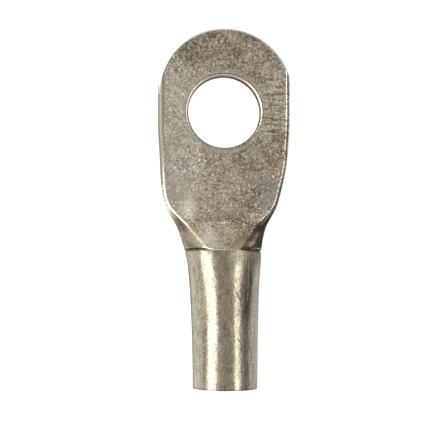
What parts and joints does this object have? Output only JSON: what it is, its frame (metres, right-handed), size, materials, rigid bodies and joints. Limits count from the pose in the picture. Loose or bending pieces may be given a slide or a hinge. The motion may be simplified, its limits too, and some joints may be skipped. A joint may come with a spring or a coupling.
{
  "type": "cable lug",
  "caption": "Tubular compression lug: a round barrel that takes a bare cable end, pressed down at a ramped throat to a flat palm with a bolt hole and a round tip.",
  "frame": {"origin": "where the bolt hole's axis meets the back face of the palm, which the lug lies on", "axes": "+Y along the lug to the palm's tip, -Y to the barrel's mouth, +Z out of the palm's front face along the bolt hole, +X across the palm"},
  "size_m": [0.0194, 0.0517, 0.009],
  "materials": {
    "tinned_copper": "tin-plated copper, mottled satin with a warm tint"
  },
  "bodies": {
    "root": {"cable_lug": "tinned_copper"}
  },
  "joints": []
}
